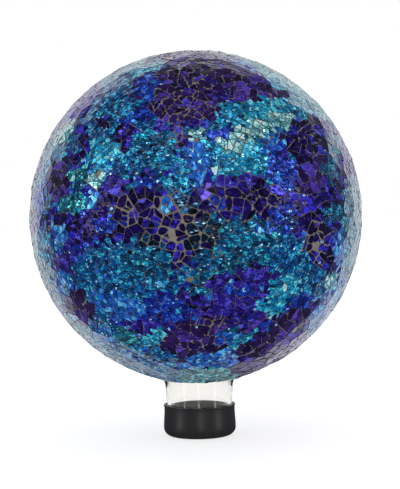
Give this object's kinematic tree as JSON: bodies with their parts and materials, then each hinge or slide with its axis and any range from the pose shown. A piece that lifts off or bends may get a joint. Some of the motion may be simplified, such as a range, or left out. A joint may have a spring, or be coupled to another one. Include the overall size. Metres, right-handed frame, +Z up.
{
  "type": "mosaic garden globe",
  "caption": "Decorative garden globe: a blown glass ball skinned with blue, teal and violet crackled glass mosaic, on a short clear neck with a black rubber cap",
  "frame": {"origin": "centre of the cap's flat underside, on the axis of the globe, neck and cap", "axes": "+Z up along the neck's axis through the globe's centre; the pictured side faces -Y, with +X to its right"},
  "size_m": [0.254, 0.254, 0.2953],
  "materials": {
    "clear_glass": "polished",
    "mosaic_glass": "gloss",
    "grout": "matte",
    "black_rubber": "satin"
  },
  "bodies": {
    "root": {"glass_globe": "clear_glass", "mosaic_skin": "mosaic_glass", "neck_cap": "black_rubber"}
  },
  "joints": []
}
